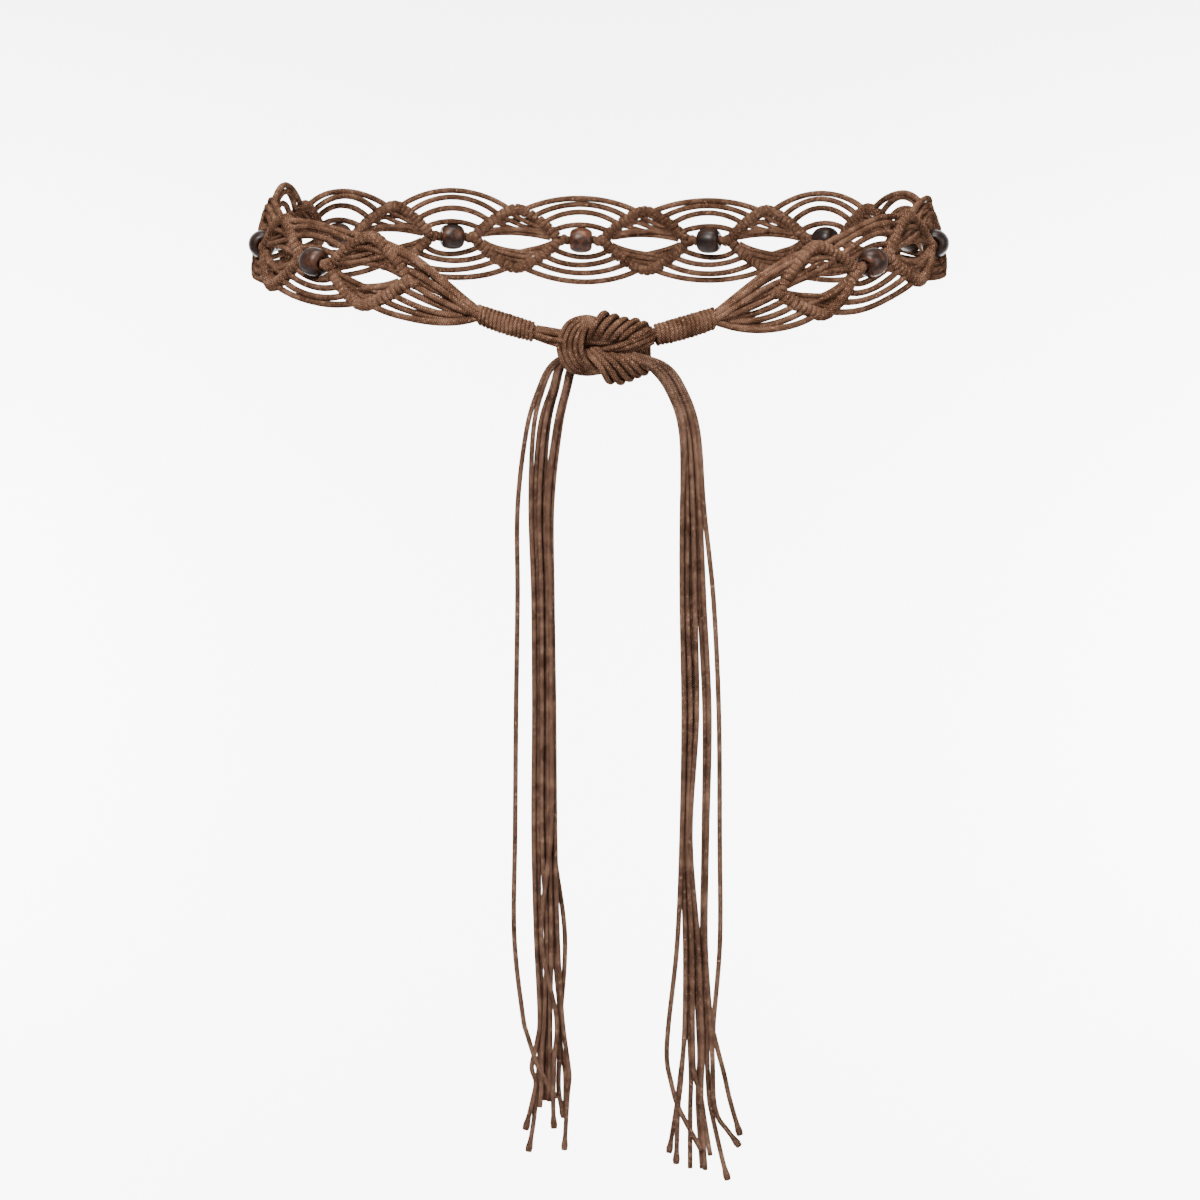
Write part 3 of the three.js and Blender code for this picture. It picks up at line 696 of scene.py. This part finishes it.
def make_bead(k, segments=32):
    s = (centre(k) + centre(k + 1)) / 2
    middle = belt(s)
    axis = belt(s + 1) - belt(s - 1)
    axis /= np.linalg.norm(axis)
    across = np.cross(axis, [0, 0, 1])
    across /= np.linalg.norm(across)
    up = np.cross(across, axis)
    strands = Strands()
    points, faces, uvs = [], [], []
    rows = len(BEAD_PROFILE)
    for at, reach in BEAD_PROFILE:
        for i in range(segments):
            angle = 2 * math.pi * i / segments
            r = reach * BEAD / 2
            points.append(middle + axis * at * BEAD_LENGTH / 2
                          + r * (math.cos(angle) * across + math.sin(angle) * up))
    for row in range(rows):
        far = (row + 1) % rows
        v0, v1 = row / rows, (row + 1) / rows
        for i in range(segments):
            j = (i + 1) % segments
            faces.append((row * segments + i, far * segments + i, far * segments + j, row * segments + j))
            u0, u1 = i / segments, (i + 1) / segments
            uvs += [(u0, v0), (u0, v1), (u1, v1), (u1, v0)]
    strands.add(np.array(points), faces, uvs)
    piece = strands.object(f"wood_bead_{k + 1:02d}", WOOD_LOOK)
    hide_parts(f"bead_{k + 1:02d}")


# Fans and wraps

def bundle(i, radius=BUNDLE_RADIUS):
    """Place of cord i in a round bundle, as (up, out)."""
    if i < BUNDLE_OUTER_CORDS:
        angle = 2 * math.pi * i / BUNDLE_OUTER_CORDS
        return radius * math.cos(angle), radius * math.sin(angle)
    angle = 2 * math.pi * (i - BUNDLE_OUTER_CORDS) / (BUNDLE_CORDS - BUNDLE_OUTER_CORDS)
    return 0.5 * radius * math.cos(angle), 0.5 * radius * math.sin(angle)


def make_fan(name, node, k, side, mouth):
    """Cords that gather from diamond k's bars into a wrap, and run on a little way inside it."""
    strands = Strands()
    for i, (share, up, near, far, place) in enumerate(FAN):
        a = bar_place(k, side, share, up)
        v, n = bundle(place)
        run = mouth - a[0]
        b = [a[0] + run * 0.36, near + jitter(0.4)]
        c = [mouth - run * 0.28, far + jitter(0.3)]
        line = bezier(a, b, c, [mouth, v], ARC_STEPS)
        layer = 0.6 if i % 2 else -0.6
        out = np.linspace(0, 1, ARC_STEPS) ** 2 * n + layer * np.sin(np.linspace(0, math.pi, ARC_STEPS))
        path = np.vstack([belt(line[:, 0], line[:, 1], out), belt([mouth + side * FAN_OVERLAP], [v], [n])])
        strands.tube(path, NET_CORD / 2)
    piece = strands.object(name, CORD_LOOK)
    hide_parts(node)


def make_wrap(name, node, start, length, side, width, turn_steps=18):
    """A coil of cord, a little slimmer at its ends; side 1 runs from the knot to the left of the picture."""
    strands = Strands()
    t = np.linspace(0, 1, WRAP_TURNS * turn_steps)
    cord = length / WRAP_TURNS
    angle = t * WRAP_TURNS * 2 * math.pi
    radius = (width - cord) / 2 * (1 - WRAP_TAPER * (2 * t - 1) ** 2) * (1 + 0.02 * np.sin(angle * 0.37))
    s = side * (start + cord / 2 + t * (length - cord))
    strands.tube(belt(s, radius * np.cos(angle), radius * np.sin(angle)), cord / 2 * 0.98)
    inner = np.linspace(start - 0.1, start + length + 0.1, 10) * side
    for i in range(BUNDLE_CORDS):
        v, n = bundle(i)
        strands.tube(belt(inner, v, n), CORD / 2 * 0.9)
    piece = strands.object(name, CORD_LOOK)
    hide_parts(node)


# Knot

KNOT = belt(-KNOT_OFFSET, -KNOT_SAG)


def between(first, last, share):
    """Part of the way from one group of places to another."""
    return np.array(first) * (1 - share) + np.array(last) * share


def crossing_loop(upper, lower, size=1.0):
    """One turn of cord: out of the front gap, over the top, down the back and up from below."""
    (gx, gz), (tx, tz) = upper
    (hx, hz), (bx, bz) = lower
    turn = np.array([
        (gx, GAP_FRONT, gz), ((gx + tx) / 2 - 0.5, CROSSING_FRONT, (gz + tz) / 2 + 0.5), (tx, -3.4, tz),
        (tx + 1.6, 2.4, tz - 1.6), ((tx + bx) / 2 + 1.4, 6.2, (tz + bz) / 2 + 2.0),
        (bx + 1.6, 2.6, bz + 1.8), (bx, -3.2, bz),
        ((hx + bx) / 2 + 0.5, CROSSING_FRONT, (hz + bz) / 2 + 0.5), (hx, GAP_FRONT, hz),
    ])
    turn[:, 0] = np.minimum(turn[:, 0], KNOT_RIGHT)
    return turn * [1, size, size]


def make_knot():
    strands = Strands()

    def cord(places, width):
        strands.tube(smooth(KNOT + np.array(places), KNOT_STEP), width / 2)

    for i in range(LOBE_CORDS):
        cord(between(LOBE_FIRST, LOBE_LAST, i / (LOBE_CORDS - 1)), CORD)
    crossings = list(zip(UPPER_CORDS, LOWER_CORDS))
    for upper, lower in crossings:
        for size in (1.0, UNDER_SIZE):
            cord(crossing_loop(upper, lower, size), KNOT_CORD)
    for this, after in zip(crossings, crossings[1:]):
        upper, lower = between(this, after, 0.5)
        for size in HALFWAY_SIZES:
            cord(crossing_loop(upper, lower, size), KNOT_CORD)
    for row in WRAP_CORDS:
        cord(row, CORD)
    for i in range(CORE_CORDS):
        angle = 2 * math.pi * i / CORE_CORDS
        y, z = CORE_RADIUS * math.cos(angle), CORE_RADIUS * math.sin(angle)
        cord([(x, depth * y, height * z) for x, depth, height in CORE], CORE_CORD)
    s = np.linspace(LEFT_WRAP - 0.3, -RIGHT_WRAP + 0.3, 24)
    for i in range(BUNDLE_CORDS):
        v, n = bundle(i, NECK_RADIUS)
        turn = 0.5 * np.sin(s * 0.2 + i)
        strands.tube(belt(s, v + turn, n - turn), CORD / 2)
    piece = strands.object("tie_knot_cords", CORD_LOOK)
    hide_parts("tie_knot")


# Tails

def tail_path(start, plane, row, wave):
    """Down from the knot through the row's places, with a slight wave at the tip."""
    depth, sway, tips, _ = row
    places = [start, *[(x, plane + depth * min(1, 0.3 + h / 30), KNOT[2] - h) for x, h in zip(sway, FALL)]]
    places += [(x, plane + depth + 0.4 * math.sin(h * 0.3 + wave), KNOT[2] - h) for x, h in tips]
    return smooth(places, 1.6)


def make_tail(name, node, rows, starts, plane):
    """Ten loose cords, each a piece of its own."""
    for i, row in enumerate(rows):
        share = i / (len(rows) - 1)
        path = tail_path(KNOT + between(*starts, share), plane, row, i)
        radius = np.full(len(path), TAIL_CORD / 2)
        if row[3]:
            radius[-len(KNOB):] *= KNOB
        strands = Strands()
        strands.tube(path, radius, start=i * 3.7)
        piece = strands.object(f"{name}_{i + 1:02d}", TAIL_LOOK)
        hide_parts(node)


# Floor, backdrop and light

def plain_material(name, colour):
    n = Nodes(name)
    n.shader.inputs["Base Color"].default_value = (*colour, 1)
    n.shader.inputs["Roughness"].default_value = 0.9
    return n.material


def make_stage():
    """Paper that curves up from the floor to a wall well behind the belt."""
    floor_z, wall_y, half, bend, steps = -1.5, 2.6, 5.0, 0.6, 8
    profile = [(-half, floor_z)]
    for i in range(steps + 1):
        angle = math.pi / 2 * i / steps
        profile.append((wall_y - bend + bend * math.sin(angle), floor_z + bend - bend * math.cos(angle)))
    profile.append((wall_y, half))
    points = [(x, y, z) for y, z in profile for x in (-half, half)]
    faces = [(2 * i, 2 * i + 1, 2 * i + 3, 2 * i + 2) for i in range(len(profile) - 1)]
    mesh = bpy.data.meshes.new("backdrop")
    mesh.from_pydata(points, [], faces)
    mesh.polygons.foreach_set("use_smooth", [True] * len(mesh.polygons))
    mesh.materials.append(plain_material("backdrop_paper", (0.93, 0.93, 0.93)))
    backdrop = bpy.data.objects.new("backdrop", mesh)
    bpy.context.scene.collection.objects.link(backdrop)


def area_light(name, place, aim, size, power):
    data = bpy.data.lights.new(name, "AREA")
    data.size = size
    data.energy = power
    light = bpy.data.objects.new(name, data)
    light.location = place
    light.rotation_euler = (Vector(aim) - Vector(place)).to_track_quat("-Z", "Y").to_euler()
    bpy.context.scene.collection.objects.link(light)


# Place, aim, size and power of each light; the wall's own lights look away from the belt
LIGHTS = {
    "key": ((-0.5, -1.3, 1.1), (0, 0, -0.1), 0.6, 60),
    "fill": ((1.2, -1.0, 0.3), (0, 0, -0.1), 1.0, 16),
    "top": ((0.0, -0.2, 1.6), (0, 0, -0.1), 0.8, 26),
    "wall_left": ((-1.2, 1.5, -0.4), (0, 2.6, -0.4), 0.8, 150),
    "wall_right": ((1.2, 1.5, -0.4), (0, 2.6, -0.4), 0.8, 150),
}


def make_lights():
    for name, (place, aim, size, power) in LIGHTS.items():
        area_light(name, place, aim, size, power)
    world = bpy.data.worlds.new("studio")
    world.use_nodes = True
    world.node_tree.nodes["Background"].inputs["Color"].default_value = (1, 1, 1, 1)
    world.node_tree.nodes["Background"].inputs["Strength"].default_value = 0.4
    bpy.context.scene.world = world


for k in range(DIAMONDS):
    make_diamond(k)
for k in range(DIAMONDS - 1):
    make_bead(k)
make_fan("left_fan_cords", "left_fan", 0, -1, LEFT_WRAP + LEFT_WRAP_LENGTH)
make_fan("right_fan_cords", "right_fan", DIAMONDS - 1, 1, LOOP - RIGHT_WRAP - RIGHT_WRAP_LENGTH)
make_wrap("left_wrap_coil", "left_wrap", LEFT_WRAP, LEFT_WRAP_LENGTH, 1, LEFT_WRAP_WIDTH)
make_wrap("right_wrap_coil", "right_wrap", RIGHT_WRAP, RIGHT_WRAP_LENGTH, -1, RIGHT_WRAP_WIDTH)
make_knot()
make_tail("left_tail_cord", "left_tail", LEFT_CORDS, LEFT_STARTS, KNOT[1] + LEFT_PLANE)
make_tail("right_tail_cord", "right_tail", RIGHT_CORDS, RIGHT_STARTS, KNOT[1] + RIGHT_PLANE)
make_camera()
make_stage()
make_lights()
